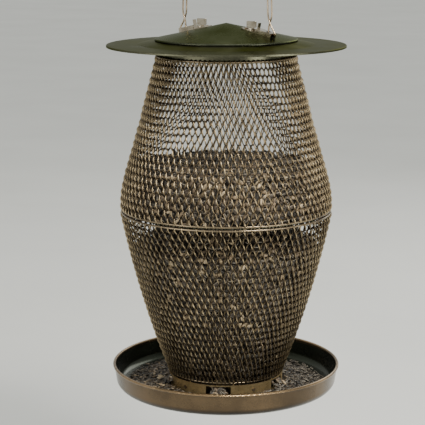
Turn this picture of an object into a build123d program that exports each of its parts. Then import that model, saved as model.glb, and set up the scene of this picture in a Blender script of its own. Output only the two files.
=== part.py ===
"""Hanging bird feeder: a folding double cone of wire mesh between a hat-shaped roof and a seed tray.

The origin is the point where the wire hanger bears on its hook. +Z is up and +X runs along the line
through the two hanger clips. All sizes are in millimetres.
"""

import math
import os

from build123d import *

# ---- Driving dimensions ----
sheet = 0.8  # roof, lid, tray and collars are pressed from this sheet
hang_drop = 190.0  # from the hook down to the edge of the roof
roof_z = -hang_drop

brim_r = 117.5
crease_r = 87.0
crease_rise = 0.5
brim_slope = 0.19  # rise over run of the cone inside the crease
brim_hem = 1.9
brim_bend = 0.4
throat_r = 64.4  # inside of the throat skirt
throat_lip_rise = 5.75
throat_skirt_drop = -4.0
ridge_land = 1.2  # from the skirt to the top of the roof's cone

lid_r = 70.2
lid_bend = 0.6
lid_hem_rise = 4.4
lid_edge_rise = 5.8
lid_apex_rise = 21.0

upper_mesh_drops = (-14.0, -58.0, -108.0, -146.0, -159.6)  # below the roof edge, top to bottom
upper_mesh_radii = (70.4, 82.0, 95.5, 105.0, 105.8)
lower_mesh_drops = (-167.4, -245.8, -326.2)
lower_mesh_radii = (105.6, 86.2, 59.2)
mesh_wall = 0.5  # the sheet that holds as much metal as the open coils
slip_fit = 0.05
gap = 0.4  # between bodies, and between the seed and what holds it

hoop_wire_r = 0.95
top_hoop_r = 68.25
top_hoop_drop = -11.4
mid_hoop_r = 103.65
mid_drop = -163.5
mid_hoop_spacing = 3.6
mid_plate_r = 101.6  # clear of the coils that go round the hoops
mid_plate_hole_r = 46.0
tab_root = 1.0  # how far a tab starts inside its sheet
tab_reach = 0.5  # how far it reaches past the middle of its hoop
bottom_hoop_r = 57.1
bottom_hoop_drop = -327.4
coil_pitch = 360 / 88  # degrees round the mesh
tab_angles = [(k * 11 + 0.25) * coil_pitch for k in range(8)]  # each between two coils
tab_width = 1.4

collar_r = 57.5
port_count = 5
port_angle = 25.0  # width of a port, in degrees round the collar
first_port = -59.0  # its middle, in degrees from +X
port_height = 9.6
port_top_drop = -331.0
port_corner_r = 1.2
collar_gap = 1.6  # from the bottom hoop down to the collar, for the coils that go round the hoop

tray_r = 114.5
tray_rim_drop = -322.3
tray_base_drop = -344.5
tray_bead_r = 1.5

clip_hinge_rise = 11.25  # the line that the feeder swings about, above the roof edge
clip_width = 8.9
clip_height = 4.5
clip_sheet = 1.0
clip_flange = 0.8
clip_end_r = 56.5
clip_step_r = 38.0
clip_foot_r = 21.5
clip_rivet_place = 24.6
clip_slot_r = 50.6
clip_slot_length = 7.1
clip_slot_width = 2.8
clip_post_height = 9.0
clip_post_width = 4.2

screw_x = 31.0
screw_shank_r = 2.0
screw_bore_r = 2.05
screw_hole_r = 2.4  # through the lid and the clips
screw_pass_r = 2.3  # through the washers and the bridge
screw_tip_drop = -4.0
washer_r = 3.4
washer_rim = 0.2
paddle_width = 11.0
paddle_height = 5.8
paddle_taper = 1.2
paddle_neck = 3.4
paddle_sheet = 1.8
head_clearance = 0.1
screw_collar_r = 3.2
screw_collar = 0.5

bridge_rise = 2.0
bridge_width = 12.0
bridge_sheet = 1.5
bridge_end_gap = 0.36
bridge_tab_drop = -6.0
bridge_bend_r = 1.2
nut_r = 4.6
nut_height = 5.5

rivet_r = 1.23
rivet_hole_r = 1.25
rivet_head_r = 1.85
rivet_head = 0.7
touch = 0.02  # left between parts that bear on each other
cut_margin = 1.0  # how far a cutting shape runs past the metal

hanger_wire_r = 0.8
hanger_leg_x = 53.0
hanger_lean = 3.4  # how far the legs lean in by the shoulder
hanger_strand_gap = 3.4
hanger_strand_y = 0.82  # each strand's distance from the hanger's plane
hanger_twist_rise = 13.5  # the crossing of the two strands, above the hinge line
hanger_twist_half = 4.0
hanger_shoulder_drop = 62.0
eye_inner_x = 51.3
eye_outer_x = 60.2

seed_level_drop = -120.0
seed_repose = 0.68  # rise over run of the heap's slope

os.makedirs("parts", exist_ok=True)


def level(drop):
    """Height in the part's frame of a drop or rise stated from the roof's edge."""
    return roof_z + drop


def lid_top(radius):
    """Height of the lid's upper surface at a radius."""
    return level(lid_apex_rise - (lid_apex_rise - lid_edge_rise) * radius / lid_r)


lid_slope = math.degrees(math.atan2(lid_apex_rise - lid_edge_rise, lid_r))


def radial_plane(angle, drop):
    """A plane that faces outwards along a radius, at a drop below the roof's edge."""
    direction = (math.cos(math.radians(angle)), math.sin(math.radians(angle)), 0)
    return Plane(origin=(0, 0, level(drop)), x_dir=(0, 0, 1), z_dir=direction)


def write(piece, name):
    """Labels a finished piece and writes it to its own file."""
    piece.part.label = name
    export_step(piece.part, f"parts/{name}.step")


# ---- Hanger clips: a channel that carries the wire, a foot under the screw, and an upright finger ----
stand_off = 0.06  # a flat foot on the cone of the lid


def clip_plane(side):
    """The lid's slope on one side: local x runs outwards, z stands off the metal, origin at the apex."""
    lean = math.radians(lid_slope)
    normal = Vector(side * math.sin(lean), 0, math.cos(lean))
    apex = Vector(0, 0, lid_top(0)) + normal * stand_off
    return Plane(origin=apex, x_dir=Vector(side * math.cos(lean), 0, -math.sin(lean)), z_dir=normal)


def along(radius):
    """Distance down the lid's slope to a radius."""
    return radius / math.cos(math.radians(lid_slope))


for side, name in ((1, "hanger_clip_right"), (-1, "hanger_clip_left")):
    slope = clip_plane(side)
    inner_width = clip_width - 2 * clip_flange
    inner_top = clip_height - clip_sheet
    step_end = clip_step_r + clip_sheet
    blocks = (  # from, to, width, bottom, top
        (clip_step_r, clip_end_r, clip_width, 0, clip_height, Mode.ADD),
        (step_end, clip_end_r + cut_margin, inner_width, -cut_margin, inner_top, Mode.SUBTRACT),
        (clip_foot_r, clip_step_r + tab_reach, clip_width, 0, clip_sheet, Mode.ADD),
        (clip_step_r, step_end, clip_post_width, 0, clip_sheet + clip_post_height, Mode.ADD),
    )
    with BuildPart() as hanger_clip:
        for start, end, width, bottom, top, mode in blocks:
            with BuildSketch(slope.offset(bottom)):
                with Locations(((along(start) + along(end)) / 2, 0)):
                    Rectangle(along(end) - along(start), width)
            extrude(amount=top - bottom, mode=mode)
        with BuildSketch(slope):
            with Locations((along(clip_slot_r), 0)):
                SlotOverall(clip_slot_length, clip_slot_width, rotation=90)
            with Locations((along(clip_rivet_place), 0)):
                Circle(rivet_hole_r)
        extrude(amount=clip_height + cut_margin, mode=Mode.SUBTRACT)
        with BuildSketch(Plane.XY.offset(level(0))):
            with Locations((side * screw_x, 0)):
                Circle(screw_hole_r)
        extrude(amount=lid_apex_rise, mode=Mode.SUBTRACT)
    write(hanger_clip, name)

lid_underside = -stand_off - sheet * math.cos(math.radians(lid_slope)) - touch
rivet_stages = (  # radius, bottom, top
    (rivet_r, lid_underside, clip_sheet + touch),
    (rivet_head_r, clip_sheet + touch, clip_sheet + touch + rivet_head),
    (rivet_head_r, lid_underside - rivet_head, lid_underside),
)
with BuildPart() as clip_rivets:
    for side in (1, -1):
        for radius, bottom, top in rivet_stages:
            with BuildSketch(clip_plane(side).offset(bottom)):
                with Locations((along(clip_rivet_place), 0)):
                    Circle(radius)
            extrude(amount=top - bottom)
write(clip_rivets, "clip_rivets")

# ---- Lid ----
with BuildPart() as lid_cap:
    with BuildSketch(Plane.XZ):
        with BuildLine():
            Polyline(
                (0, lid_top(0)),
                (lid_r - lid_bend, lid_top(lid_r - lid_bend)),
                (lid_r, level(lid_edge_rise) - lid_bend),
                (lid_r, level(lid_hem_rise)),
                (lid_r - sheet, level(lid_hem_rise)),
                (lid_r - sheet, lid_top(lid_r - sheet) - sheet),
                (0, lid_top(0) - sheet),
                close=True,
            )
        make_face()
    revolve(axis=Axis.Z)
    for side in (1, -1):
        with BuildSketch(clip_plane(side).offset(-sheet - cut_margin)):
            with Locations((along(clip_rivet_place), 0)):
                Circle(rivet_hole_r)
        extrude(amount=sheet + 2 * cut_margin, mode=Mode.SUBTRACT)
    with BuildSketch(Plane.XY.offset(level(0))):
        with Locations((screw_x, 0), (-screw_x, 0)):
            Circle(screw_hole_r)
    extrude(amount=lid_apex_rise, mode=Mode.SUBTRACT)
write(lid_cap, "lid_cap")

# ---- Bevel washers and thumb screws ----
foot_top = lid_top(screw_x) + (clip_sheet + stand_off) / math.cos(math.radians(lid_slope))
washer_top = foot_top + washer_r * math.tan(math.radians(lid_slope)) + washer_rim
washer_shift = (clip_sheet + stand_off) * math.sin(math.radians(lid_slope))  # back over the screw

with BuildPart() as thumb_screw_washers:
    for side in (1, -1):
        slope = clip_plane(side)
        with BuildSketch(slope.offset(clip_sheet + touch)):
            with Locations((along(screw_x) + washer_shift, 0)):
                Circle(washer_r)
        extrude(amount=washer_r)
    with BuildSketch(Plane.XY.offset(washer_top)):
        Rectangle(3 * screw_x, 3 * washer_r)
    extrude(amount=2 * washer_r, mode=Mode.SUBTRACT)
    with BuildSketch(Plane.XY.offset(level(0))):
        with Locations((screw_x, 0), (-screw_x, 0)):
            Circle(screw_pass_r)
    extrude(amount=2 * lid_apex_rise, mode=Mode.SUBTRACT)
write(thumb_screw_washers, "thumb_screw_washers")

screw_tip = level(screw_tip_drop)
head_z = washer_top + head_clearance
neck_z = head_z + screw_collar
shoulder_z = neck_z + paddle_taper
paddle_top = shoulder_z + paddle_height

for side, name in ((1, "thumb_screw_right"), (-1, "thumb_screw_left")):
    paddle_outline = (
        (side * screw_x - paddle_neck / 2, neck_z),
        (side * screw_x - paddle_width / 2, shoulder_z),
        (side * screw_x - paddle_width / 2, paddle_top),
        (side * screw_x + paddle_width / 2, paddle_top),
        (side * screw_x + paddle_width / 2, shoulder_z),
        (side * screw_x + paddle_neck / 2, neck_z),
    )
    with BuildPart() as thumb_screw:
        with BuildSketch(Plane.XY.offset(screw_tip)):
            with Locations((side * screw_x, 0)):
                Circle(screw_shank_r)
        extrude(amount=head_z - screw_tip)
        chamfer(thumb_screw.edges().filter_by(GeomType.CIRCLE).sort_by(Axis.Z)[0], 0.5)
        with BuildSketch(Plane.XY.offset(head_z)):
            with Locations((side * screw_x, 0)):
                Circle(screw_collar_r)
        extrude(amount=screw_collar)
        with BuildSketch(Plane.XZ.offset(-paddle_sheet / 2)):
            with BuildLine():
                Polyline(*paddle_outline, close=True)
            make_face()
        extrude(amount=paddle_sheet)
        corners = thumb_screw.edges().filter_by(Axis.Y).group_by(Axis.Z)[-1]
        fillet(corners, 1.0)
    write(thumb_screw, name)

# ---- Roof ----
bridge_angles = [0, 180]
roof_rivet_angles = [45, 135, 225, 315]
skirt_rivet_drop = -1.4
skirt_cut = 6.0  # deep enough for a rivet hole through the skirt and all that is riveted to it
ridge_r = throat_r + 2 * sheet + ridge_land
ridge_rise = crease_rise + (crease_r - ridge_r) * brim_slope
with BuildPart() as roof_brim:
    with BuildSketch(Plane.XZ):
        with BuildLine():
            Polyline(
                (brim_r, level(-brim_hem)),
                (brim_r, level(-brim_bend)),
                (brim_r - brim_bend, level(0)),
                (crease_r, level(crease_rise)),
                (ridge_r, level(ridge_rise)),
                (throat_r + sheet, level(throat_lip_rise)),
                (throat_r, level(throat_lip_rise)),
                (throat_r, level(throat_skirt_drop)),
                (throat_r + sheet, level(throat_skirt_drop)),
                (throat_r + sheet, level(ridge_rise - sheet)),
                (ridge_r, level(ridge_rise - sheet)),
                (crease_r, level(crease_rise - sheet)),
                (brim_r - sheet, level(-sheet)),
                (brim_r - sheet, level(-brim_hem)),
                close=True,
            )
        make_face()
    revolve(axis=Axis.Z)
    for angle in bridge_angles + roof_rivet_angles:
        with BuildSketch(radial_plane(angle, skirt_rivet_drop).offset(throat_r - skirt_cut / 3)):
            Circle(rivet_hole_r)
        extrude(amount=skirt_cut, mode=Mode.SUBTRACT)
write(roof_brim, "roof_brim")

collar_wall_r = throat_r + sheet
collar_wall_rise = 2.2
hoop_tab_drop = top_hoop_drop - hoop_wire_r - sheet / 2
with BuildPart() as roof_collar:
    with BuildSketch(Plane.XZ):
        with BuildLine():
            Polyline(
                (collar_wall_r, level(collar_wall_rise)),
                (collar_wall_r + sheet, level(collar_wall_rise)),
                (collar_wall_r + sheet, level(hoop_tab_drop - sheet / 2)),
                (collar_wall_r, level(hoop_tab_drop - sheet / 2)),
                close=True,
            )
        make_face()
    revolve(axis=Axis.Z)
    for angle in tab_angles:
        with BuildSketch(radial_plane(angle, hoop_tab_drop).offset(collar_wall_r + sheet / 2)):
            Rectangle(sheet, tab_width)
        extrude(amount=top_hoop_r + tab_reach - collar_wall_r)
    for angle in bridge_angles + roof_rivet_angles:
        with BuildSketch(radial_plane(angle, skirt_rivet_drop).offset(throat_r - skirt_cut / 3)):
            Circle(rivet_hole_r)
        extrude(amount=skirt_cut, mode=Mode.SUBTRACT)
write(roof_collar, "roof_collar")

bridge_tab_x = throat_r - bridge_end_gap
top_z = level(bridge_rise)
tab_z = level(bridge_tab_drop)
with BuildPart() as bridge_bar:
    with BuildSketch(Plane.XZ.offset(-bridge_width / 2)):
        with BuildLine():
            Polyline(
                (-bridge_tab_x, top_z),
                (bridge_tab_x, top_z),
                (bridge_tab_x, tab_z),
                (bridge_tab_x - bridge_sheet, tab_z),
                (bridge_tab_x - bridge_sheet, top_z - bridge_sheet),
                (-bridge_tab_x + bridge_sheet, top_z - bridge_sheet),
                (-bridge_tab_x + bridge_sheet, tab_z),
                (-bridge_tab_x, tab_z),
                close=True,
            )
        make_face()
    extrude(amount=bridge_width)
    fillet(bridge_bar.edges().filter_by(Axis.Y).group_by(Axis.Z)[-1], bridge_bend_r)
    with BuildSketch(Plane.XY.offset(tab_z)):
        with Locations((screw_x, 0), (-screw_x, 0)):
            Circle(screw_pass_r)
    extrude(amount=top_z - tab_z + cut_margin, mode=Mode.SUBTRACT)
    with BuildSketch(Plane.YZ.offset(-throat_r)):
        with Locations((0, level(skirt_rivet_drop))):
            Circle(rivet_hole_r)
    extrude(amount=2 * throat_r, mode=Mode.SUBTRACT)
write(bridge_bar, "bridge_bar")

with BuildPart() as bridge_nuts:
    with BuildSketch(Plane.XY.offset(level(bridge_rise))):
        with Locations((screw_x, 0), (-screw_x, 0)):
            RegularPolygon(nut_r, 6)
            Circle(screw_bore_r, mode=Mode.SUBTRACT)
    extrude(amount=nut_height)
write(bridge_nuts, "bridge_nuts")

# ---- Hoops that the mesh hangs on ----
hoops = (
    ("top_hoop", top_hoop_r, top_hoop_drop),
    ("mid_hoop_upper", mid_hoop_r, mid_drop + mid_hoop_spacing / 2),
    ("mid_hoop_lower", mid_hoop_r, mid_drop - mid_hoop_spacing / 2),
    ("bottom_hoop", bottom_hoop_r, bottom_hoop_drop),
)
for name, radius, drop in hoops:
    with BuildPart() as wire_hoop:
        with BuildSketch(Plane.XZ):
            with Locations((radius, level(drop))):
                Circle(hoop_wire_r)
        revolve(axis=Axis.Z)
    write(wire_hoop, name)

# ---- Divider plate between the cones, on tabs that lie between the middle hoops ----
plate_tab_height = mid_hoop_spacing - 2 * hoop_wire_r - 2 * touch
with BuildPart() as mid_plate:
    with BuildSketch(Plane.XY.offset(level(mid_drop) - sheet / 2)):
        Circle(mid_plate_r)
        Circle(mid_plate_hole_r, mode=Mode.SUBTRACT)
    extrude(amount=sheet)
    for angle in tab_angles:
        with BuildSketch(radial_plane(angle, mid_drop).offset(mid_plate_r - tab_root)):
            Rectangle(plate_tab_height, tab_width)
        extrude(amount=mid_hoop_r + tab_reach - mid_plate_r + tab_root)
write(mid_plate, "mid_plate")

# ---- Mesh, as closed shells of its outer shape ----
meshes = (
    ("upper_mesh", upper_mesh_radii, upper_mesh_drops),
    ("lower_mesh", lower_mesh_radii, lower_mesh_drops),
)
for name, radii, drops in meshes:
    outer = [(r, level(d)) for r, d in zip(radii, drops)]
    inner = [(r - mesh_wall, level(d)) for r, d in zip(radii, drops)]
    with BuildPart() as mesh_cone:
        with BuildSketch(Plane.XZ):
            with BuildLine():
                Spline(*outer)
                Line(outer[-1], inner[-1])
                Spline(*inner)
                Line(inner[0], outer[0])
            make_face()
        revolve(axis=Axis.Z)
    write(mesh_cone, name)

# ---- Port collar, the foot ring inside it, and the rivets that join the two ----
collar_foot = tray_base_drop + sheet
inner_r = collar_r - sheet
ring_wall_r = inner_r - slip_fit
ring_flange = 6.0
foot_rivet_r = ring_wall_r - 3.4
port_middle_drop = port_top_drop - port_height / 2
port_angles = [first_port + k * 360 / port_count for k in range(port_count)]
pillar_angles = [angle + 180 / port_count for angle in port_angles]

collar_top_drop = bottom_hoop_drop - hoop_wire_r - collar_gap
collar_tab_top = bottom_hoop_drop - hoop_wire_r - touch
collar_tab_foot = collar_top_drop - sheet
collar_tab_middle = (collar_tab_top + collar_tab_foot) / 2
port_width = 2 * collar_r * math.sin(math.radians(port_angle / 2))
side_cut_r = inner_r - 4.0  # where a hole through the ring and the collar starts
side_cut = 6.5
ring_top = level(port_middle_drop + 3.2)
ring_floor = level(collar_foot)
notch_width = 2 * inner_r * math.sin(math.radians(23.0))  # wider than a port
notch_sill = 1.0
notch_size = 16.0

with BuildPart() as port_collar:
    with BuildSketch(Plane.XY.offset(level(collar_foot))):
        Circle(collar_r)
        Circle(inner_r, mode=Mode.SUBTRACT)
    extrude(amount=collar_top_drop - collar_foot)
    for angle in tab_angles:
        with BuildSketch(radial_plane(angle, collar_tab_middle).offset(inner_r + touch)):
            Rectangle(collar_tab_top - collar_tab_foot, tab_width)
        extrude(amount=sheet - 3 * touch)
    for angle in port_angles:
        with BuildSketch(radial_plane(angle, port_middle_drop).offset(side_cut_r)):
            RectangleRounded(port_height, port_width, port_corner_r)
        extrude(amount=side_cut, mode=Mode.SUBTRACT)
    for angle in pillar_angles:
        with BuildSketch(radial_plane(angle, port_middle_drop).offset(side_cut_r)):
            Circle(rivet_hole_r)
        extrude(amount=side_cut, mode=Mode.SUBTRACT)
write(port_collar, "port_collar")

with BuildPart() as foot_ring:
    with BuildSketch(Plane.XZ):
        with BuildLine():
            Polyline(
                (ring_wall_r, ring_floor),
                (ring_wall_r, ring_top),
                (ring_wall_r - sheet, ring_top),
                (ring_wall_r - sheet, ring_floor + sheet),
                (ring_wall_r - ring_flange, ring_floor + sheet),
                (ring_wall_r - ring_flange, ring_floor),
                close=True,
            )
        make_face()
    revolve(axis=Axis.Z)
    for angle in port_angles:
        notch_middle = collar_foot + sheet + notch_sill + notch_size / 2
        with BuildSketch(radial_plane(angle, notch_middle).offset(collar_r + cut_margin - notch_size)):
            Rectangle(notch_size, notch_width)
        extrude(amount=notch_size, mode=Mode.SUBTRACT)
    for angle in pillar_angles:
        with BuildSketch(radial_plane(angle, port_middle_drop).offset(side_cut_r)):
            Circle(rivet_hole_r)
        extrude(amount=side_cut, mode=Mode.SUBTRACT)
    with BuildSketch(Plane.XY.offset(ring_floor)):
        with PolarLocations(foot_rivet_r, port_count, start_angle=pillar_angles[0]):
            Circle(rivet_hole_r)
    extrude(amount=sheet + cut_margin, mode=Mode.SUBTRACT)
write(foot_ring, "foot_ring")

# ---- Rivets along radii, each with a low head on both sides of what it holds ----
head_seat = touch + rivet_head_r**2 / (2 * foot_rivet_r)  # a flat head inside a curved wall
skirt_outside = throat_r + 2 * sheet + touch
bridge_inside = bridge_tab_x - bridge_sheet - touch
foot_inside = ring_wall_r - sheet - head_seat
radial_rivets = (  # name, angles, drop, inside, outside
    ("roof_rivets", roof_rivet_angles, skirt_rivet_drop, throat_r - head_seat, skirt_outside),
    ("bridge_rivets", bridge_angles, skirt_rivet_drop, bridge_inside, skirt_outside),
    ("collar_rivets", pillar_angles, port_middle_drop, foot_inside, collar_r + touch),
)
for name, angles, drop, inside, outside in radial_rivets:
    stages = (
        (rivet_r, inside, outside),
        (rivet_head_r, inside - rivet_head, inside),
        (rivet_head_r, outside, outside + rivet_head),
    )
    with BuildPart() as rivets:
        for angle in angles:
            for radius, start, end in stages:
                with BuildSketch(radial_plane(angle, drop).offset(start)):
                    Circle(radius)
                extrude(amount=end - start)
    write(rivets, name)

# ---- Tray ----
bead_centre_r = tray_r - tray_bead_r
wall_foot_r = 111.2
wall_top_r = bead_centre_r + 0.3
corner_r = 9.0
corner_x = wall_foot_r - corner_r
base_z = level(tray_base_drop)
bead_z = level(tray_rim_drop)
corner_z = base_z + corner_r
corner_share = math.sin(math.radians(45))
outer_mid = (corner_x + corner_r * corner_share, corner_z - corner_r * corner_share)
inner_corner = corner_r - sheet
inner_mid = (corner_x + inner_corner * corner_share, corner_z - inner_corner * corner_share)
with BuildPart() as tray:
    with BuildSketch(Plane.XZ):
        with BuildLine():
            Line((0, base_z), (corner_x, base_z))
            ThreePointArc((corner_x, base_z), outer_mid, (wall_foot_r, corner_z))
            Line((wall_foot_r, corner_z), (wall_top_r, bead_z))
            Line((wall_top_r, bead_z), (wall_top_r - sheet, bead_z))
            Line((wall_top_r - sheet, bead_z), (wall_foot_r - sheet, corner_z))
            ThreePointArc((wall_foot_r - sheet, corner_z), inner_mid, (corner_x, base_z + sheet))
            Line((corner_x, base_z + sheet), (0, base_z + sheet))
            Line((0, base_z + sheet), (0, base_z))
        make_face()
    revolve(axis=Axis.Z)
    with BuildSketch(Plane.XZ):
        with Locations((bead_centre_r, bead_z)):
            Circle(tray_bead_r)
    revolve(axis=Axis.Z)
    with BuildSketch(Plane.XY.offset(base_z)):
        with PolarLocations(foot_rivet_r, port_count, start_angle=pillar_angles[0]):
            Circle(rivet_hole_r)
    extrude(amount=sheet + cut_margin, mode=Mode.SUBTRACT)
write(tray, "tray")

tray_rivet_stages = (  # radius, bottom, top
    (rivet_r, 0, 2 * sheet + touch),
    (rivet_head_r, 2 * sheet + touch, 2 * sheet + touch + rivet_head),
)
with BuildPart() as tray_rivets:
    for radius, bottom, top in tray_rivet_stages:
        with BuildSketch(Plane.XY.offset(base_z + bottom)):
            with PolarLocations(foot_rivet_r, port_count, start_angle=pillar_angles[0]):
                Circle(radius)
        extrude(amount=top - bottom)
write(tray_rivets, "tray_rivets")

# ---- Seed, as the plain volume it takes up ----
def wall_radius(radii, drops, drop):
    """Inner radius of a mesh wall at a drop, between the points that shape it."""
    for (r0, d0), (r1, d1) in zip(zip(radii, drops), zip(radii[1:], drops[1:])):
        if d1 <= drop <= d0:
            return r0 + (r1 - r0) * (drop - d0) / (d1 - d0) - mesh_wall - 2 * gap
    return radii[-1] - mesh_wall - 2 * gap


seed_foot_z = level(mid_drop) + sheet / 2 + gap
seed_foot_r = mid_plate_r - 1.4
seed_top_r = wall_radius(upper_mesh_radii, upper_mesh_drops, seed_level_drop)
seed_shoulder_drop = -146.0
seed_shoulder_r = wall_radius(upper_mesh_radii, upper_mesh_drops, seed_shoulder_drop) - 1.2
upper_profile = (
    (0, level(seed_level_drop)),
    (seed_top_r, level(seed_level_drop)),
    (seed_shoulder_r, level(seed_shoulder_drop)),
    (seed_foot_r, seed_foot_z + 5.2),
    (seed_foot_r, seed_foot_z),
    (0, seed_foot_z),
)

heap_top_z = level(mid_drop) - sheet / 2 - gap
heap_foot_drop = -200.0
heap_foot_r = wall_radius(lower_mesh_radii, lower_mesh_drops, heap_foot_drop)
heap_top_r = heap_foot_r - (heap_top_z - level(heap_foot_drop)) / seed_repose
waist_drop = lower_mesh_drops[1]
neck_drop = -320.0
funnel_r = 49.6  # inside the foot ring
funnel_z = ring_floor + 2 * sheet + 1.2  # over the rivets in the floor
lower_profile = (
    (0, heap_top_z),
    (heap_top_r, heap_top_z),
    (heap_foot_r, level(heap_foot_drop)),
    (wall_radius(lower_mesh_radii, lower_mesh_drops, waist_drop), level(waist_drop)),
    (wall_radius(lower_mesh_radii, lower_mesh_drops, neck_drop) - 1.0, level(neck_drop)),
    (funnel_r, level(port_top_drop)),
    (funnel_r, funnel_z),
    (0, funnel_z),
)

spill_foot_z = ring_floor + slip_fit
spill_inner_r = collar_r + 1.4
tray_profile = (
    (spill_inner_r, spill_foot_z),
    (102.0, spill_foot_z),
    (100.5, spill_foot_z + 1.6),
    (68.0, spill_foot_z + 5.0),
    (spill_inner_r, spill_foot_z + 6.0),
)

seed_volumes = (
    ("seed_fill_upper", upper_profile),
    ("seed_fill_lower", lower_profile),
    ("tray_seed", tray_profile),
)
for name, profile in seed_volumes:
    with BuildPart() as seed_volume:
        with BuildSketch(Plane.XZ):
            with BuildLine():
                Polyline(*profile, close=True)
            make_face()
        revolve(axis=Axis.Z)
    write(seed_volume, name)


# ---- Wire hanger: one endless loop of wire, doubled, with a triangular eye at each clip ----
hinge_z = level(clip_hinge_rise)
twist_z = hinge_z + hanger_twist_rise
eye_middle_x = (eye_inner_x + eye_outer_x) / 2
half_gap = hanger_strand_gap / 2
hook_neck = (4.4, -22.0)  # out from the middle, and down from the hook
hook_bulge = (10.5, -9.5)
hook_crown_x = 5.2
bend_share = 0.45  # of the shorter run beside a corner
bend_limit_r = 30.0


def leg(side, y, shift, foot_x):
    """One strand on one side, from the middle of the eye's foot up through the twist to the shoulder."""
    return [
        (side * eye_middle_x, 0, hinge_z),
        (side * foot_x, 0, hinge_z),
        (side * (hanger_leg_x - shift), side * y, twist_z - hanger_twist_half),
        (side * (hanger_leg_x + shift), side * y, twist_z + hanger_twist_half),
        (side * (hanger_leg_x - hanger_lean + shift), y, -hanger_shoulder_drop),
    ]


def hook_bend(side, y):
    """Half of the bend at the top that the hook goes through, from its neck up."""
    return [
        (side * hook_neck[0], y, hook_neck[1]),
        (side * hook_bulge[0], y, hook_bulge[1]),
        (side * hook_crown_x, y, hanger_wire_r),
    ]


def bend_radii(route):
    """An easy radius at each corner, as large as the shorter run beside it lets it be."""
    radii = []
    for before, here, after in zip(route, route[1:], route[2:]):
        first = Vector(*here) - Vector(*before)
        second = Vector(*after) - Vector(*here)
        turn = math.radians(first.get_angle(second))
        run = min(first.length, second.length)
        radii.append(min(bend_share * run / math.tan(turn / 2), bend_limit_r))
    return radii


strands = (  # distance from the hanger's plane, shift beside the leg's middle, end of the foot
    (hanger_strand_y, half_gap, eye_inner_x),
    (-hanger_strand_y, -half_gap, eye_outer_x),
)
with BuildPart() as hanger_bail:
    for y, shift, foot_x in strands:
        left = leg(-1, y, shift, foot_x) + hook_bend(-1, y)
        right = leg(1, y, shift, foot_x) + hook_bend(1, y)
        route = left + right[::-1]
        first_run = Vector(*route[1]) - Vector(*route[0])
        with BuildLine():
            FilletPolyline(*route, radius=bend_radii(route))
        with BuildSketch(Plane(origin=route[0], z_dir=first_run)):
            Circle(hanger_wire_r)
        sweep()
write(hanger_bail, "hanger_bail")
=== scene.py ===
import math

import bpy
import numpy as np
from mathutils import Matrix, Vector


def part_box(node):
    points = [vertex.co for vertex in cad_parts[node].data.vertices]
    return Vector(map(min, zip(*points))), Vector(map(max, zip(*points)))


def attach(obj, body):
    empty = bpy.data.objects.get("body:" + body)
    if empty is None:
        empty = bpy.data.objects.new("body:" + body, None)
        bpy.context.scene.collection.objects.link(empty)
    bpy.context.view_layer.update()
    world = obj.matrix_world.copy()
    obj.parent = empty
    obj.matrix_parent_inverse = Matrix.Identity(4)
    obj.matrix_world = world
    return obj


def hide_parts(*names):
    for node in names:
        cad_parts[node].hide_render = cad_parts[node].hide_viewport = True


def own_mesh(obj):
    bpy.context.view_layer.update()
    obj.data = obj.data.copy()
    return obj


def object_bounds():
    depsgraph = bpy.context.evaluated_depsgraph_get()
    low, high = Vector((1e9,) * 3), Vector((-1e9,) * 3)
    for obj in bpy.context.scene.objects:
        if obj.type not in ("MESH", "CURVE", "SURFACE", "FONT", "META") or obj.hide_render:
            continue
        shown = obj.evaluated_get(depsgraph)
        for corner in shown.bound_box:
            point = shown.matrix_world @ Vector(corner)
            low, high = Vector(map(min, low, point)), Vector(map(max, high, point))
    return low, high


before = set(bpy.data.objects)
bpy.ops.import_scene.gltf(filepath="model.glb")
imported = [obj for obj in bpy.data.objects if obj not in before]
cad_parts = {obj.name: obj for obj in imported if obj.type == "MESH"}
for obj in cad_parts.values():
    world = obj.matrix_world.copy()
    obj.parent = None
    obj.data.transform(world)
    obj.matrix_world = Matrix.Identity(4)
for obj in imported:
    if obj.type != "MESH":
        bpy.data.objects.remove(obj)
cad_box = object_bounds()
rng = np.random.default_rng(20)

# ---- Places that the frame gives ----


def ring(node):
    """(radius to the wire's middle, height of its middle, wire radius) of a hoop."""
    low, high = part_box(node)
    wire = (high.z - low.z) / 2
    return high.x - wire, (high.z + low.z) / 2, wire


def outline(node):
    """Heights and outer radii of a round node, from the bottom up."""
    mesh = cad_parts[node].data
    co = np.zeros(len(mesh.vertices) * 3)
    mesh.vertices.foreach_get("co", co)
    co = co.reshape(-1, 3)
    height = np.round(co[:, 2], 4)
    levels = np.unique(height)
    radius = np.hypot(co[:, 0], co[:, 1])
    return levels, np.array([radius[height == z].max() for z in levels])


def mesh_object(name, points, faces, smooth=True):
    """A new mesh piece from arrays of points and of faces with one number of corners each."""
    mesh = bpy.data.meshes.new(name)
    loops = faces.size
    mesh.vertices.add(len(points))
    mesh.vertices.foreach_set("co", points.astype(np.float32).ravel())
    mesh.loops.add(loops)
    mesh.loops.foreach_set("vertex_index", faces.astype(np.int32).ravel())
    mesh.polygons.add(len(faces))
    mesh.polygons.foreach_set("loop_start", np.arange(0, loops, faces.shape[1], dtype=np.int32))
    mesh.update(calc_edges=True)
    mesh.validate()
    if smooth:
        mesh.shade_smooth()
    piece = bpy.data.objects.new(name, mesh)
    bpy.context.scene.collection.objects.link(piece)
    return piece


def attribute(piece, name, values):
    """Stores one vector per point for a material to read."""
    layer = piece.data.attributes.new(name, "FLOAT_VECTOR", "POINT")
    layer.data.foreach_set("vector", values.astype(np.float32).ravel())


# ---- Materials ----


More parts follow.
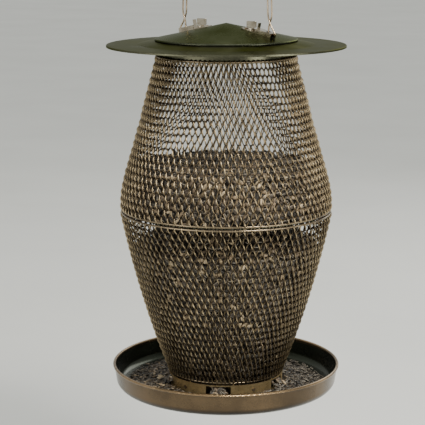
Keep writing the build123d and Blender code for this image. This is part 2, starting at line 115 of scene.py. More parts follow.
def material(name):
    """A new node material: the material, its tree, its shader and a function that adds nodes.

    add(kind, settings, **inputs) sets an input by its name, or by its number as i0, i1 and so on.
    """
    made = bpy.data.materials.new(name)
    made.use_nodes = True
    tree = made.node_tree
    shader = tree.nodes["Principled BSDF"]

    def add(kind, settings=None, **inputs):
        node = tree.nodes.new(kind)
        for key, value in (settings or {}).items():
            setattr(node, key, value)
        for key, value in inputs.items():
            numbered = key[0] == "i" and key[1:].isdigit()
            socket = node.inputs[int(key[1:]) if numbered else key.replace("_", " ")]
            if isinstance(value, bpy.types.NodeSocket):
                tree.links.new(value, socket)
            else:
                socket.default_value = value
        return node

    return made, tree, shader, add


def mapped(add, value, old, new):
    """The value with the range old stretched to the range new, and held at its ends."""
    made = add("ShaderNodeMapRange", Value=value, From_Min=old[0], From_Max=old[1], To_Min=new[0],
               To_Max=new[1])
    return made.outputs[0]


def mixed(add, share, first, second):
    """One colour turning into another as share goes from 0 to 1."""
    return add("ShaderNodeMix", {"data_type": "RGBA"}, i0=share, i6=first, i7=second).outputs[2]


def ramp(add, source, stops):
    """A colour ramp from a list of (place, colour)."""
    node = add("ShaderNodeValToRGB", i0=source)
    elements = node.color_ramp.elements
    elements[0].position, elements[0].color = stops[0][0], (*stops[0][1], 1)
    elements[1].position, elements[1].color = stops[-1][0], (*stops[-1][1], 1)
    for place, colour in stops[1:-1]:
        elements.new(place).color = (*colour, 1)
    return node.outputs["Color"]


def noise(add, place, scale, detail, roughness):
    """Noise from 0 to 1 at a place."""
    made = add("ShaderNodeTexNoise", Vector=place, Scale=scale, Detail=detail, Roughness=roughness)
    return made.outputs["Fac"]


def metal(name, dark, light, metallic, rough, grain=60.0, bump=0.05, coat=0.0, stretch=(1, 1, 1), speck=None,
          tint=None, edge=(1, 1, 1)):
    """Coated or bare sheet metal: broad tone changes, fine grain, and a roughness that follows both.

    tint(add, colour) may change the colour by where on the piece it is. edge tints what the surface
    mirrors at a low angle.
    """
    made, tree, shader, add = material(name)
    place = add("ShaderNodeTexCoord").outputs["Object"]
    scaled = add("ShaderNodeMapping", Vector=place, Scale=stretch).outputs["Vector"]
    broad = noise(add, place, grain * 0.35, 5.0, 0.6)
    small = noise(add, scaled, grain * 9, 3.0, 0.55)
    both = add("ShaderNodeMath", {"operation": "MULTIPLY_ADD"}, i0=small, i1=0.35, i2=broad).outputs[0]
    between = tuple((np.array(dark) + np.array(light)) / 2)
    colour = ramp(add, both, [(0.45, dark), (0.68, between), (0.86, light)])
    if speck:
        dust = noise(add, place, grain * 5, 6.0, 0.75)
        where = ramp(add, dust, [(0.60, (0, 0, 0)), (0.72, (1, 1, 1))])
        colour = mixed(add, where, colour, (*speck, 1))
    if tint:
        colour = tint(add, colour)
    tree.links.new(colour, shader.inputs["Base Color"])
    roughness = mapped(add, both, (0.4, 0.9), (rough * 0.8, rough * 1.35))
    tree.links.new(roughness, shader.inputs["Roughness"])
    lift = add("ShaderNodeBump", Strength=bump, Distance=0.0004, Height=both)
    tree.links.new(lift.outputs[0], shader.inputs["Normal"])
    shader.inputs["Metallic"].default_value = metallic
    shader.inputs["Coat Weight"].default_value = coat
    shader.inputs["Coat Roughness"].default_value = 0.12
    shader.inputs["Specular Tint"].default_value = (*edge, 1)
    return made


def multiplied(add, colour, factor):
    """The colour times a grey or coloured factor."""
    settings = {"data_type": "RGBA", "blend_type": "MULTIPLY"}
    return add("ShaderNodeMix", settings, i0=1.0, i6=colour, i7=factor).outputs[2]


def wire_shade_and_highlight(add, colour):
    """Painted highlight where a coil stands proud, painted shade where it turns in behind its neighbour."""
    marks = add("ShaderNodeAttribute", {"attribute_name": "coil_place"}).outputs["Vector"]
    proud = add("ShaderNodeSeparateXYZ", i0=marks).outputs[0]
    # painted light by depth: painted shade at the bends and where rows meet, painted highlight on the
    # outermost legs
    factor = ramp(add, proud, [
        (0.0, (0.80, 0.78, 0.74)),
        (0.16, (0.45, 0.41, 0.37)),
        (0.30, (0.09, 0.07, 0.05)),
        (0.68, (0.09, 0.07, 0.05)),
        (0.80, (0.62, 0.59, 0.56)),
        (0.90, (1.05, 1.03, 1.00)),
        (1.0, (1.55, 1.55, 1.53)),
    ])
    return multiplied(add, colour, factor)


def tray_shade_and_highlight(add, colour):
    """Painted light on the tray: a dark green painted reflection inside, below the bead, painted shade where
    the wall turns under, and a painted highlight on the bead.
    """
    place = add("ShaderNodeTexCoord")
    x, y, z = add("ShaderNodeSeparateXYZ", i0=place.outputs["Object"]).outputs
    nx, ny, nz = add("ShaderNodeSeparateXYZ", i0=place.outputs["Normal"]).outputs
    flat_place = add("ShaderNodeCombineXYZ", i0=x, i1=y).outputs[0]
    radial = add("ShaderNodeVectorMath", {"operation": "NORMALIZE"}, i0=flat_place).outputs[0]
    flat_normal = add("ShaderNodeCombineXYZ", i0=nx, i1=ny).outputs[0]
    dot = {"operation": "DOT_PRODUCT"}
    outward = add("ShaderNodeVectorMath", dot, i0=flat_normal, i1=radial).outputs["Value"]
    inward = add("ShaderNodeMath", {"operation": "SUBTRACT"}, i0=nz, i1=outward).outputs[0]
    facing = ramp(add, inward, [(0.10, (0, 0, 0)), (0.35, (1, 1, 1))])
    under_bead = mapped(add, z, (TRAY_BEAD_FOOT - 0.0008, TRAY_BEAD_FOOT), (1.0, 0.0))
    inside = multiplied(add, facing, under_bead)
    # the inside, below the bead, gets a painted dark green reflection
    inside_reflected = mixed(add, inside, colour, TRAY_INSIDE_DARK_REFLECTION)
    # painted shade where the wall turns under and faces down
    below = mapped(add, nz, (-0.60, -0.16), (0.16, 1.0))
    shaded = multiplied(add, inside_reflected, below)
    # painted highlight on the rolled bead at the rim
    bead = mapped(add, z, (TRAY_BEAD_FOOT, TRAY_BEAD_FOOT + 0.0010), (1.0, 2.4))
    return multiplied(add, shaded, bead)


TRAY_BEAD_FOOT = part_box("tray")[1].z - 0.0032
# painted dark reflection colour for the inside of the tray
TRAY_INSIDE_DARK_REFLECTION = (0.020, 0.024, 0.013, 1)

bronze = metal("bronze_enamel", (0.048, 0.049, 0.032), (0.128, 0.127, 0.084), 1.0, 0.30, bump=0.06,
               speck=(0.170, 0.165, 0.110), edge=(0.42, 0.43, 0.33))
lid_enamel = metal("lid_enamel", (0.036, 0.039, 0.026), (0.112, 0.119, 0.080), 1.0, 0.26, bump=0.06,
                   speck=(0.140, 0.143, 0.098), edge=(0.50, 0.52, 0.41))
copper = metal("copper_enamel", (0.043, 0.029, 0.015), (0.118, 0.079, 0.041), 0.80, 0.24, bump=0.05,
               coat=0.15, stretch=(1, 1, 6), speck=(0.07, 0.055, 0.035), tint=tray_shade_and_highlight)
brass = metal("brass_enamel", (0.42, 0.31, 0.15), (0.90, 0.69, 0.36), 0.90, 0.27, bump=0.05,
              speck=(0.13, 0.09, 0.045))
wire_paint = metal("wire_enamel", (0.155, 0.117, 0.068), (0.39, 0.310, 0.188), 0.75, 0.25, grain=90.0,
                   bump=0.08, speck=(0.12, 0.085, 0.05), tint=wire_shade_and_highlight)
low_wire_paint = metal("low_wire_enamel", (0.105, 0.080, 0.045), (0.27, 0.215, 0.128), 0.75, 0.25,
                       grain=90.0, bump=0.08, speck=(0.30, 0.24, 0.17), tint=wire_shade_and_highlight)
hoop_paint = metal("hoop_enamel", (0.10, 0.076, 0.048), (0.36, 0.285, 0.19), 0.90, 0.16, grain=90.0,
                   bump=0.06)
nickel = metal("nickel_plate", (0.20, 0.155, 0.10), (0.90, 0.82, 0.68), 1.0, 0.13, grain=140.0, bump=0.05,
               speck=(0.17, 0.115, 0.06))
bright_wire = metal("bright_wire", (0.17, 0.125, 0.080), (0.50, 0.40, 0.28), 1.0, 0.20, grain=140.0,
                    bump=0.04, stretch=(1, 1, 0.15))
rivet_metal = metal("rivet_metal", (0.12, 0.09, 0.055), (0.30, 0.23, 0.15), 0.85, 0.32, grain=140.0,
                    bump=0.05)

CAD_FINISH = {
    bronze: ("roof_brim", "roof_collar", "mid_plate"),
    lid_enamel: ("lid_cap",),
    copper: ("tray",),
    brass: ("port_collar", "foot_ring"),
    hoop_paint: ("top_hoop", "mid_hoop_upper", "mid_hoop_lower", "bottom_hoop"),
    nickel: ("hanger_clip_right", "hanger_clip_left", "thumb_screw_right", "thumb_screw_left",
             "thumb_screw_washers", "bridge_bar", "bridge_nuts"),
    bright_wire: ("hanger_bail",),
    rivet_metal: ("clip_rivets", "roof_rivets", "bridge_rivets", "collar_rivets", "tray_rivets"),
}
for finish, nodes in CAD_FINISH.items():
    for node in nodes:
        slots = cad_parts[node].data.materials
        slots.clear()
        slots.append(finish)

# ---- Mesh of interlinked wire coils ----
COILS = 88
WIRE = 0.0006
FLAT = 0.0011  # half the depth of a coil at its ends, between its wires' middles
BULGE = 0.0010  # how much further it stands out halfway
SIDES = 8
BEND = 0.11  # share of a coil that a bend takes


def coil_row(top, bottom, top_depth, bottom_depth, phase, radius_at):
    """Middle line of one row: front legs lean down to the right, back legs lean up to the right."""
    stops = []
    middle = (top + bottom) / 2
    middle_depth = (top_depth + bottom_depth) / 2 + BULGE
    for turn, share in ((-45, -0.5), (0, 0.0), (45, 0.5), (90, 1.0)):
        a = math.radians(90 - turn)
        height = top - top_depth + top_depth * math.sin(a)
        stops.append((share * BEND, height, top_depth * math.cos(a)))
    stops.append((0.25, middle, middle_depth))
    for turn, share in ((-90, -1.0), (-45, -0.5), (0, 0.0), (45, 0.5), (90, 1.0)):
        a = math.radians(-90 - turn)
        height = bottom + bottom_depth + bottom_depth * math.sin(a)
        stops.append((0.5 + share * BEND, height, bottom_depth * math.cos(a)))
    stops.append((0.75, middle, -middle_depth))
    stops.append((1 - BEND, top - top_depth, -top_depth))
    share, height, depth = np.array(stops).T
    proud = np.tile((depth / middle_depth + 1) / 2, COILS)
    turn = (phase + np.arange(COILS)[:, None] + share[None, :]) * 2 * math.pi / COILS
    wobble = rng.normal(0, 0.00012, (COILS, 1))
    height = np.broadcast_to(height, turn.shape)
    half = np.interp(height, (bottom, top), (bottom_depth, top_depth)) + BULGE
    radius = radius_at(height) - WIRE - half + depth + wobble * 0.5
    height = height + wobble
    line = np.stack([radius * np.cos(turn), radius * np.sin(turn), height], -1).reshape(-1, 3)
    return line, turn.ravel(), proud


def closed_tube(path, turn, radius):
    """Points and faces of a tube round a closed path whose run is never along the circumference."""
    tangent = np.roll(path, -1, 0) - np.roll(path, 1, 0)
    tangent /= np.linalg.norm(tangent, axis=1)[:, None]
    around = np.stack([-np.sin(turn), np.cos(turn), np.zeros_like(turn)], -1)
    side = np.cross(tangent, around)
    side /= np.linalg.norm(side, axis=1)[:, None]
    up = np.cross(side, tangent)
    angle = np.arange(SIDES) * 2 * math.pi / SIDES
    sideways = np.cos(angle)[None, :, None] * side[:, None]
    upward = np.sin(angle)[None, :, None] * up[:, None]
    points = path[:, None] + radius * (sideways + upward)
    here = np.arange(len(path))[:, None] * SIDES
    after = np.roll(here, -1, 0)
    k = np.arange(SIDES)[None, :]
    nxt = (k + 1) % SIDES
    faces = np.stack([here + k, after + k, after + nxt, here + nxt], -1).reshape(-1, 4)
    return points.reshape(-1, 3), faces


def coil_mesh(name, node, top_hoop, bottom_hoop, rows, first_phase, groups, body, finish):
    """All rows between two hoops, in a few pieces."""
    levels, radii = outline(node)
    top = top_hoop[1] + top_hoop[2] + WIRE
    bottom = bottom_hoop[1] - bottom_hoop[2] - WIRE
    pitch = (top - bottom - 2 * WIRE) / rows
    hooped = top_hoop[2] + WIRE
    pieces = []
    for group in range(groups):
        points, faces, marks, count = [], [], [], 0
        for row in range(group * rows // groups, (group + 1) * rows // groups):
            line, turn, proud = coil_row(
                top - row * pitch,
                top - row * pitch - pitch - 2 * WIRE,
                hooped if row == 0 else FLAT,
                hooped if row == rows - 1 else FLAT,
                first_phase + 0.5 * row,
                lambda z: np.interp(z, levels, radii),
            )
            row_points, row_faces = closed_tube(line, turn, WIRE)
            points.append(row_points)
            faces.append(row_faces + count)
            marks.append(np.repeat(proud, SIDES))
            count += len(row_points)
        piece = mesh_object(f"{name}_{group + 1}", np.concatenate(points), np.concatenate(faces))
        proud = np.concatenate(marks)
        # how far out each wire point stands, read by the material for its painted shade and highlight
        attribute(piece, "coil_place", np.stack([proud, np.zeros_like(proud), np.zeros_like(proud)], -1))
        piece.data.materials.append(finish)
        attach(piece, body)
        pieces.append(piece)
    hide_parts(node)
    return pieces


HOOPS = ("top_hoop", "mid_hoop_upper", "mid_hoop_lower", "bottom_hoop")
UPPER_ROWS = 22
LOWER_ROWS = 24
GROUPS = 3  # pieces that the rows of one cone are shared out over
top_ring, upper_ring, lower_ring, bottom_ring = map(ring, HOOPS)
upper_pieces = coil_mesh(
    "coils_upper", "upper_mesh", top_ring, upper_ring, UPPER_ROWS, 0.0, GROUPS, "roof", wire_paint)
lower_pieces = coil_mesh(
    "coils_lower", "lower_mesh", lower_ring, bottom_ring, LOWER_ROWS, 0.5, GROUPS, "base", low_wire_paint)

# ---- Seed ----
tray_low, tray_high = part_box("tray_seed")
collar_low, collar_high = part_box("port_collar")
TRAY_CORNER_X = 0.1022
TRAY_CORNER_R = 0.0082
SEED_RINGS = ((-0.46, 0.30), (-0.24, 0.80), (0.04, 1.0), (0.28, 0.72), (0.44, 0.32))  # along, width share
SEED_SIDES = 6


def seed_shape():
    """One seed of length 1 along x: flattened, blunt at one end and pointed at the other."""
    points = [(-0.5, 0, 0)]
    place = [(0.0, 0.0)]
    for along, share in SEED_RINGS:
        for k in range(SEED_SIDES):
            a = k * 2 * math.pi / SEED_SIDES
            points.append((along, 0.5 * share * math.cos(a), 0.5 * share * math.sin(a)))
            place.append((k / SEED_SIDES, along + 0.5))
    points.append((0.5, 0, 0))
    place.append((0.0, 1.0))
    faces = []
    last = len(points) - 1
    for k in range(SEED_SIDES):
        nxt = (k + 1) % SEED_SIDES
        faces.append((0, 1 + nxt, 1 + k))
        start = 1 + (len(SEED_RINGS) - 1) * SEED_SIDES
        faces.append((last, start + k, start + nxt))
        for row in range(len(SEED_RINGS) - 1):
            a = 1 + row * SEED_SIDES
            b = a + SEED_SIDES
            faces.append((a + k, a + nxt, b + nxt))
            faces.append((a + k, b + nxt, b + k))
    return np.array(points), np.array(place), np.array(faces)


def tray_floor_height(radius):
    """Height of the tray's inner surface at a radius."""
    past = np.clip(radius - TRAY_CORNER_X, 0, TRAY_CORNER_R * 0.98)
    return tray_low.z + TRAY_CORNER_R - np.sqrt(TRAY_CORNER_R**2 - past**2)


def settled(points):
    """Moves whole seeds up off the tray's metal and out from the collar, where they would cut into it."""
    radius = np.hypot(points[..., 0], points[..., 1])
    middle = points.mean(1)
    out = middle[:, :2] / np.linalg.norm(middle[:, :2], axis=1)[:, None]
    push = np.clip(collar_high.x + 0.0002 - radius.min(1), 0, None)
    points[..., :2] += (push[:, None] * out)[:, None]
    radius = np.hypot(points[..., 0], points[..., 1])
    points[..., 2] += np.clip((tray_floor_height(radius) - points[..., 2]).max(1), 0, None)[:, None]
    return points


def seeds(name, centres, along, normal, length, tone, body, finish, settle=None):
    """Many seeds in one piece.

    along is each seed's length direction and normal the way its flat side faces.
    """
    shape, place, faces = seed_shape()
    n = len(centres)
    along = along / np.linalg.norm(along, axis=1)[:, None]
    wide = np.cross(normal, along)
    wide /= np.linalg.norm(wide, axis=1)[:, None]
    flat = np.cross(along, wide)
    width = length * rng.uniform(0.42, 0.56, n)
    thick = width * rng.uniform(0.5, 0.72, n)
    points = (
        centres[:, None]
        + shape[None, :, 0, None] * (length[:, None] * along)[:, None]
        + shape[None, :, 1, None] * (width[:, None] * wide)[:, None]
        + shape[None, :, 2, None] * (thick[:, None] * flat)[:, None]
    )
    if settle:
        points = settle(points)
    all_faces = (faces[None] + (np.arange(n) * len(shape))[:, None, None]).reshape(-1, 3)
    piece = mesh_object(name, points.reshape(-1, 3), all_faces)
    marks = np.zeros((n, len(shape), 3))
    marks[:, :, 0] = place[None, :, 0]
    marks[:, :, 1] = place[None, :, 1]
    marks[:, :, 2] = tone[:, None]
    attribute(piece, "seed_place", marks.reshape(-1, 3))
    piece.data.materials.append(finish)
    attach(piece, body)
    return piece


SEED_STRIPE = (0.42, 0.37, 0.29, 1)
STRIPES = 3  # on each seed that has them
STRIPE_SHARE = 0.8  # how far a stripe hides the hull's own colour


def seed_material(name, stripes):
    """Hulls from black to tan, by each seed's own tone, with pale stripes along some of them."""
    made, tree, shader, add = material(name)
    marks = add("ShaderNodeAttribute", {"attribute_name": "seed_place"}).outputs["Vector"]
    around, _, tone = add("ShaderNodeSeparateXYZ", i0=marks).outputs
    base = ramp(add, tone, [
        (0.0, (0.016, 0.013, 0.010)), (0.35, (0.040, 0.031, 0.022)), (0.60, (0.090, 0.066, 0.044)),
        (0.76, (0.17, 0.125, 0.080)), (0.88, (0.31, 0.225, 0.135)), (1.0, (0.60, 0.48, 0.31))])
    waves = add("ShaderNodeMath", {"operation": "MULTIPLY"}, i0=around, i1=2 * math.pi * STRIPES)
    wave = add("ShaderNodeMath", {"operation": "SINE"}, i0=waves.outputs[0]).outputs[0]
    line = ramp(add, wave, [(0.72, (0, 0, 0)), (0.92, (1, 1, 1))])
    striped = ramp(add, tone, [
        (0.10, (0, 0, 0)), (0.14, (stripes,) * 3), (0.50, (stripes,) * 3), (0.54, (0, 0, 0))])
    share = multiplied(add, line, striped)
    tree.links.new(mixed(add, share, base, SEED_STRIPE), shader.inputs["Base Color"])
    place = add("ShaderNodeTexCoord").outputs["Object"]
    grain = add("ShaderNodeTexNoise", Vector=place, Scale=900.0, Detail=3.0)
    lift = add("ShaderNodeBump", Strength=0.25, Distance=0.0003, Height=grain.outputs["Fac"])
    tree.links.new(lift.outputs[0], shader.inputs["Normal"])
    rough = add("ShaderNodeMapRange", Value=grain.outputs["Fac"], To_Min=0.42, To_Max=0.68)
    tree.links.new(rough.outputs[0], shader.inputs["Roughness"])
    return made


def bed_material():
    """What shows between the seeds: dark hulls and crumbs, too small to be pieces of their own."""
    made, tree, shader, add = material("seed_bed")
    place = add("ShaderNodeTexCoord").outputs["Object"]
    cells = add("ShaderNodeTexVoronoi", Vector=place, Scale=260.0)
    colour = ramp(add, cells.outputs["Color"], [
        (0.2, (0.012, 0.010, 0.007)), (0.6, (0.040, 0.031, 0.021)), (0.95, (0.13, 0.095, 0.058))])
    tree.links.new(colour, shader.inputs["Base Color"])
    depth = cells.outputs["Distance"]
    lift = add("ShaderNodeBump", {"invert": True}, Strength=0.9, Distance=0.0012, Height=depth)
    tree.links.new(lift.outputs[0], shader.inputs["Normal"])
    shader.inputs["Roughness"].default_value = 0.7
    return made


hulls = seed_material("seed_hulls", STRIPE_SHARE)
bed = bed_material()


def revolved(name, profile, segments, rough):
    """A closed, slightly lumpy piece from a profile of (radius, height) that starts and ends on the axis."""
    profile = np.array(profile)
    turn = np.arange(segments) * 2 * math.pi / segments
    inner = profile[1:-1]
    rings = np.stack([
        inner[:, None, 0] * np.cos(turn)[None], inner[:, None, 0] * np.sin(turn)[None],
        np.broadcast_to(inner[:, None, 1], (len(inner), segments))], -1)
    rings += rng.normal(0, rough, rings.shape)
    points = np.concatenate([[[0, 0, profile[0, 1]]], rings.reshape(-1, 3), [[0, 0, profile[-1, 1]]]])
    k = np.arange(segments)
    nxt = (k + 1) % segments
    last = len(points) - 1
    faces = [np.stack([np.zeros_like(k), 1 + k, 1 + nxt], -1)]
    for row in range(len(inner) - 1):
        a, b = 1 + row * segments, 1 + (row + 1) * segments
        faces.append(np.stack([a + k, b + k, b + nxt], -1))
        faces.append(np.stack([a + k, b + nxt, a + nxt], -1))
    end = 1 + (len(inner) - 1) * segments
    faces.append(np.stack([end + k, np.full_like(k, last), end + nxt], -1))
    return mesh_object(name, points, np.concatenate(faces))


def fine(profile, step):
    """The same profile with points no further apart than step."""
    out = [profile[0]]
    for a, b in zip(profile, profile[1:]):
        n = max(1, int(math.dist(a, b) / step))
        out += [tuple(np.array(a) + (np.array(b) - np.array(a)) * (i + 1) / n) for i in range(n)]
    return out


UP = np.array([0, 0, 1.0])


def tones(n, pale, reach=0.84):
    """Seed tones: mostly dark, with a share of pale hulls and kernels."""
    tone = rng.beta(1.3, 1.5, n) * reach
    bright = rng.random(n) < pale
    tone[bright] = rng.uniform(0.8, 1.0, bright.sum())
    return tone


def wall_seeds(name, levels, radii, low, high, spacing, body, pale, reach=0.84):
    """Seeds lying flat against the inside of the mesh."""
    centres, along, normal = [], [], []
    heights = np.arange(low, high, spacing)
    for row, z in enumerate(heights):
        r = np.interp(z, levels, radii)
        n = int(2 * math.pi * r / (spacing * 1.15))
        turn = (np.arange(n) + rng.uniform(-0.35, 0.35, n) + 0.5 * (row % 2)) * 2 * math.pi / n
        zs = z + rng.uniform(-0.35, 0.35, n) * spacing
        rs = np.interp(zs, levels, radii) - rng.uniform(0.0066, 0.0088, n)
        out = np.stack([np.cos(turn), np.sin(turn), np.zeros(n)], -1)
        side = np.stack([-np.sin(turn), np.cos(turn), np.zeros(n)], -1)
        lean = rng.uniform(0, math.pi, n)
        tilt = rng.normal(0, 0.28, n)
        direction = np.cos(lean)[:, None] * side + np.sin(lean)[:, None] * UP + tilt[:, None] * out
        centres.append(np.stack([rs * np.cos(turn), rs * np.sin(turn), zs], -1))
        along.append(direction)
        normal.append(out + rng.normal(0, 0.25, (n, 3)))
    centres, along, normal = map(np.concatenate, (centres, along, normal))
    n = len(centres)
    tone = tones(n, pale, reach)
    return seeds(name, centres, along, normal, rng.uniform(0.0062, 0.0095, n), tone, body, hulls)


def heap_seeds(name, profile, spacing, body, pale, length=(0.0065, 0.0095), keep=None, paler_side=None,
               settle=None):
    """Seeds lying on a heap's surface, whose profile runs from the inside out."""
    centres, along, normal = [], [], []
    for (r0, z0), (r1, z1) in zip(profile, profile[1:]):
        run = math.dist((r0, z0), (r1, z1))
        rows = max(1, int(run / spacing))
        lean = np.array([z0 - z1, r1 - r0]) / run
        for i in range(rows):
            t = (i + 0.5) / rows
            r, z = r0 + (r1 - r0) * t, z0 + (z1 - z0) * t
            n = max(3, int(2 * math.pi * r / (spacing * 1.1)))
            turn = (np.arange(n) + rng.uniform(-0.4, 0.4, n)) * 2 * math.pi / n
            rs = r + rng.uniform(-0.4, 0.4, n) * spacing
            out = np.stack([np.cos(turn), np.sin(turn), np.zeros(n)], -1)
            up = lean[0] * out + lean[1] * UP
            spin = rng.uniform(0, 2 * math.pi, n)
            side = np.stack([-np.sin(turn), np.cos(turn), np.zeros(n)], -1)
            down = np.cross(side, up)
            direction = np.cos(spin)[:, None] * side + np.sin(spin)[:, None] * down
            direction = direction + rng.normal(0, 0.18, n)[:, None] * up
            place = np.stack([rs * np.cos(turn), rs * np.sin(turn), np.full(n, z)], -1)
            place = place + up * rng.uniform(-0.0012, 0.0008, n)[:, None]
            centres.append(place)
            along.append(direction)
            normal.append(up + rng.normal(0, 0.22, (n, 3)))
    centres, along, normal = map(np.concatenate, (centres, along, normal))
    if keep is not None:
        kept = keep(centres)
        centres, along, normal = centres[kept], along[kept], normal[kept]
    n = len(centres)
    shade = np.ones(n)
    if paler_side is not None:
        shade = 0.72 + 0.28 * np.cos(np.arctan2(centres[:, 1], centres[:, 0]) - paler_side)
    tone = tones(n, pale) * shade
    return seeds(name, centres, along, normal, rng.uniform(*length, n), tone, body, hulls, settle)


up_levels, up_radii = outline("upper_mesh")
low_levels, low_radii = outline("lower_mesh")
fill_low, fill_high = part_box("seed_fill_upper")
under_low, under_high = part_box("seed_fill_lower")

PALE = 0.09  # share of pale hulls and kernels
HEAP_EYE = 0.004  # radius where the rows of seeds on a heap begin
CORE_SKIN = 0.0015  # from a heap's seeds down to the core under them
CORE_STEP = 0.006
CORE_SEGMENTS = 120
CORE_LUMPS = 0.0003

# upper cone: filled to a level top
upper_seeds = wall_seeds(
    "seeds_upper_wall", up_levels, up_radii, fill_low.z + 0.002, fill_high.z, 0.0044, "mid_ring", PALE)
top_r = np.interp(fill_high.z, up_levels, up_radii) - 0.006
upper_top = heap_seeds(
    "seeds_upper_top", [(HEAP_EYE, fill_high.z), (top_r, fill_high.z)], 0.0055, "mid_ring", PALE)
core = [(0, fill_high.z - CORE_SKIN)]
for z in np.linspace(fill_high.z - CORE_SKIN, fill_low.z + CORE_SKIN, 14):
    core.append((min(np.interp(z, up_levels, up_radii), fill_high.x + 0.004) - 0.0092, z))
core.append((0, fill_low.z + CORE_SKIN))
upper_core = revolved("seeds_upper_core", fine(core, CORE_STEP), CORE_SEGMENTS, CORE_LUMPS)

# lower cone: a heap under the plate's hole, level at the wall, and seed down to the ports
levels, radii = outline("seed_fill_lower")
wide = int(np.argmax(radii))
heap = [(r, z) for z, r in zip(levels[wide:][::-1], radii[wide:][::-1])]
wall_top = levels[wide]
lower_seeds = wall_seeds(
    "seeds_lower_wall", low_levels, low_radii, low_levels[0] - 0.001, wall_top, 0.0046, "base", 0.06, 0.66)
crown_r = heap[0][0]
crown = [(HEAP_EYE, under_high.z), (crown_r, under_high.z), (radii[wide] - 0.006, wall_top)]
lower_top = heap_seeds("seeds_lower_top", crown, 0.0058, "base", PALE)
core = [(0, under_high.z - CORE_SKIN), (crown_r - 0.003, under_high.z - CORE_SKIN)]
core.append((radii[wide] - 0.0085, wall_top - 0.003))
for z in np.linspace(wall_top - 0.003, low_levels[0], 22)[1:]:
    core.append((np.interp(z, low_levels, low_radii) - 0.0098, z))
core += [(0, low_levels[0])]
lower_core = revolved("seeds_lower_core", fine(core, CORE_STEP), CORE_SEGMENTS, CORE_LUMPS)
funnel_top = bottom_ring[1] - 0.001
funnel = [(0, funnel_top), (0.0500, funnel_top), (0.0485, funnel_top - 0.005)]
funnel += [(0.0485, under_low.z), (0, under_low.z)]
funnel_core = revolved("seeds_funnel", fine(funnel, CORE_STEP), CORE_SEGMENTS, CORE_LUMPS)

# tray: a thin bed that is deepest by the collar, with loose seed and hulls on it
inner = collar_high.x + 0.0006
bed_profile = [
    (inner, tray_low.z + 0.0002),
    (inner, tray_high.z - 0.0016),
    (inner + 0.010, tray_high.z - 0.0024),
    (inner + 0.028, tray_low.z + 0.0018),
    (inner + 0.0410, tray_low.z + 0.0003),
]

for piece, body in ((upper_core, "mid_ring"), (lower_core, "base"), (funnel_core, "base")):
    piece.data.materials.append(bed)
    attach(piece, body)
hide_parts("seed_fill_upper")
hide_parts("seed_fill_lower")


TRAY_DEEP = math.radians(200)  # the side where the seed in the tray lies deepest
TRAY_PALE = math.radians(219)  # the side where it is palest


def tray_bed(name, profile, segments):
    """The bed in the tray: its outer edge wanders, and it lies deeper on one side."""
    turn = np.arange(segments) * 2 * math.pi / segments
    deep = 0.62 + 0.38 * np.cos(turn - TRAY_DEEP) + 0.10 * np.sin(turn * 5 + 1) + 0.07 * np.sin(turn * 11)
    rings = []
    for radius, height in fine(profile, 0.003):
        out = (radius - profile[0][0]) / (profile[-1][0] - profile[0][0])
        wander = 0.0011 * out * (np.sin(turn * 3) + 0.6 * np.sin(turn * 8 + 2))
        r = radius + wander + rng.normal(0, 0.0003, segments) * (out > 0)
        z = tray_low.z + (height - tray_low.z) * np.clip(deep, 0.25, 1.1)
        z = z + rng.normal(0, 0.00025, segments) * (out > 0)
        rings.append(np.stack([r * np.cos(turn), r * np.sin(turn), np.maximum(z, tray_low.z)], -1))
    rows = len(rings)
    points = np.concatenate(rings)
    k = np.arange(segments)
    nxt = (k + 1) % segments
    faces = []
    for row in range(rows):
        a, b = row * segments, (row + 1) % rows * segments
        faces.append(np.stack([a + k, a + nxt, b + nxt, b + k], -1))
    return mesh_object(name, points, np.concatenate(faces)[:, ::-1])


tray_floor = tray_bed("seeds_tray_bed", bed_profile, 180)
tray_floor.data.materials.append(bed)
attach(tray_floor, "base")
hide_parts("tray_seed")


def tray_keep(place):
    """Thins the loose seed out towards the wall, and more on one side than on the other."""
    radius = np.hypot(place[:, 0], place[:, 1])
    turn = np.arctan2(place[:, 1], place[:, 0])
    share = 0.90 + 0.30 * np.cos(turn - TRAY_DEEP)
    return rng.random(len(place)) < np.clip(share * (1.30 - (radius - inner) / 0.060), 0.08, 1)


loose_profile = [
    (inner + 0.0028, tray_high.z - 0.0012),
    (inner + 0.012, tray_high.z - 0.0018),
    (inner + 0.028, tray_low.z + 0.0026),
    (inner + 0.0425, tray_low.z + 0.0015),
]
heap_seeds("seeds_tray_loose", loose_profile, 0.0042, "base", 0.14, length=(0.0045, 0.0085), keep=tray_keep,
           paler_side=TRAY_PALE, settle=settled)
crumb_profile = [(r, z + 0.0004) for r, z in loose_profile]
heap_seeds("seeds_tray_crumbs", crumb_profile, 0.0034, "base", 0.20, length=(0.0022, 0.0042),
           paler_side=TRAY_PALE, settle=settled)

# in the ports: seed that runs out through the collar
PORT_COUNT = 5
FIRST_PORT = math.radians(-59)
PORT_HALF = math.radians(9)  # of the width that seed runs out through


def port_keep(place):
    """Only what lies in line with a port."""
    turn = np.arctan2(place[:, 1], place[:, 0]) - FIRST_PORT
    pitch = 2 * math.pi / PORT_COUNT
    return np.abs((turn + pitch / 2) % pitch - pitch / 2) < PORT_HALF


port_profile = [
    (0.0500, tray_low.z + 0.0112),
    (0.0542, tray_low.z + 0.0106),
    (0.0575, tray_low.z + 0.0082),
    (0.0630, tray_low.z + 0.0046),
]
heap_seeds("seeds_ports", port_profile, 0.0030, "base", 0.14, length=(0.0060, 0.0088), keep=port_keep)

# ---- Own mesh data for the coil and seed pieces ----
for piece in upper_pieces:
    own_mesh(piece)
for piece in lower_pieces:
    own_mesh(piece)
for piece in (upper_seeds, upper_top, upper_core):
    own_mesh(piece)
for piece in (lower_seeds, lower_top, lower_core):
    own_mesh(piece)

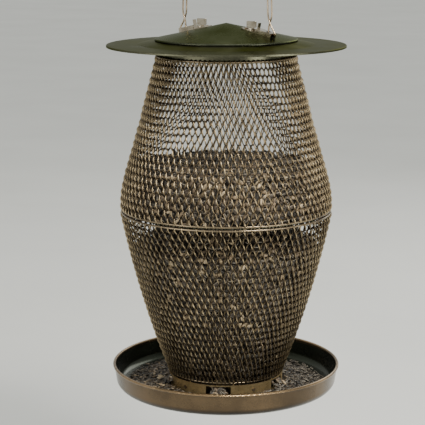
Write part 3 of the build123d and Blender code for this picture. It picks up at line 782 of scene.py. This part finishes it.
# ---- Floor, light and camera ----
FLOOR_DROP = 0.16  # below the hanging feeder
FLOOR_RADIUS = 30
FLOOR_SIDES = 96
floor_z = cad_box[0][2] - FLOOR_DROP
turn = np.linspace(0, 2 * math.pi, FLOOR_SIDES + 1)[:-1]
disc = np.stack([
    FLOOR_RADIUS * np.cos(turn), FLOOR_RADIUS * np.sin(turn), np.full(FLOOR_SIDES, floor_z)], -1)
floor = mesh_object("floor", disc, np.arange(FLOOR_SIDES)[None, :], smooth=False)
made, tree, shader, add = material("pale_floor")
shade = add("ShaderNodeTexNoise", Vector=add("ShaderNodeTexCoord").outputs["Object"], Scale=3.0, Detail=4.0)
pale = ramp(add, shade.outputs["Fac"], [(0.3, (0.74, 0.74, 0.71)), (0.7, (0.79, 0.79, 0.76))])
tree.links.new(pale, shader.inputs["Base Color"])
shader.inputs["Roughness"].default_value = 0.85
floor.data.materials.append(made)

world = bpy.data.worlds.new("studio")
bpy.context.scene.world = world
world.use_nodes = True
sky = world.node_tree
place = sky.nodes.new("ShaderNodeTexCoord")
split = sky.nodes.new("ShaderNodeSeparateXYZ")
sky_ramp = sky.nodes.new("ShaderNodeValToRGB")
sky_ramp.color_ramp.elements[0].position = 0.10
sky_ramp.color_ramp.elements[0].color = (0.545, 0.555, 0.53, 1)
sky_ramp.color_ramp.elements[1].position = 0.85
sky_ramp.color_ramp.elements[1].color = (0.80, 0.82, 0.79, 1)
sky.links.new(place.outputs["Generated"], split.inputs[0])
sky.links.new(split.outputs["Z"], sky_ramp.inputs[0])
sky.links.new(sky_ramp.outputs[0], sky.nodes["Background"].inputs["Color"])
sky.nodes["Background"].inputs["Strength"].default_value = 1.0

VIEW_TURN = math.radians(39)  # the camera's azimuth from the hanger's broad side
toward = Vector((math.sin(VIEW_TURN), -math.cos(VIEW_TURN), 0))
right = Vector((math.cos(VIEW_TURN), math.sin(VIEW_TURN), 0))
middle = Vector((0, 0, -0.33))


def area_light(name, place, size, power, colour):
    """A soft square light that faces the feeder. place is (right, toward the camera, up)."""
    data = bpy.data.lights.new(name, "AREA")
    data.size = size
    data.energy = power
    data.color = colour
    light = bpy.data.objects.new(name, data)
    bpy.context.scene.collection.objects.link(light)
    light.location = middle + right * place[0] + toward * place[1] + Vector((0, 0, place[2]))
    light.rotation_euler = (middle - light.location).to_track_quat("-Z", "Y").to_euler()


area_light("key", (0.75, 1.0, 1.25), 0.6, 38, (1.0, 0.97, 0.90))
area_light("fill", (-1.3, 1.0, 0.30), 1.0, 9, (1.0, 0.98, 0.94))
area_light("low", (1.4, 1.1, -0.20), 0.8, 15, (1.0, 0.98, 0.94))
area_light("back", (0.9, -1.4, 0.9), 1.0, 9, (1.0, 1.0, 0.96))

CAMERA_DISTANCE = 1.4937
CAMERA_SIDE = -0.0135
CAMERA_Z = -0.06505
CAMERA_PITCH = 0.1934
data = bpy.data.cameras.new("camera")
data.sensor_width = 36
data.lens = 129.1
data.clip_end = 80
camera = bpy.data.objects.new("camera", data)
bpy.context.scene.collection.objects.link(camera)
camera.location = toward * CAMERA_DISTANCE + right * CAMERA_SIDE + Vector((0, 0, CAMERA_Z))
camera.rotation_euler = (math.pi / 2 - CAMERA_PITCH, 0, VIEW_TURN)
bpy.context.scene.camera = camera
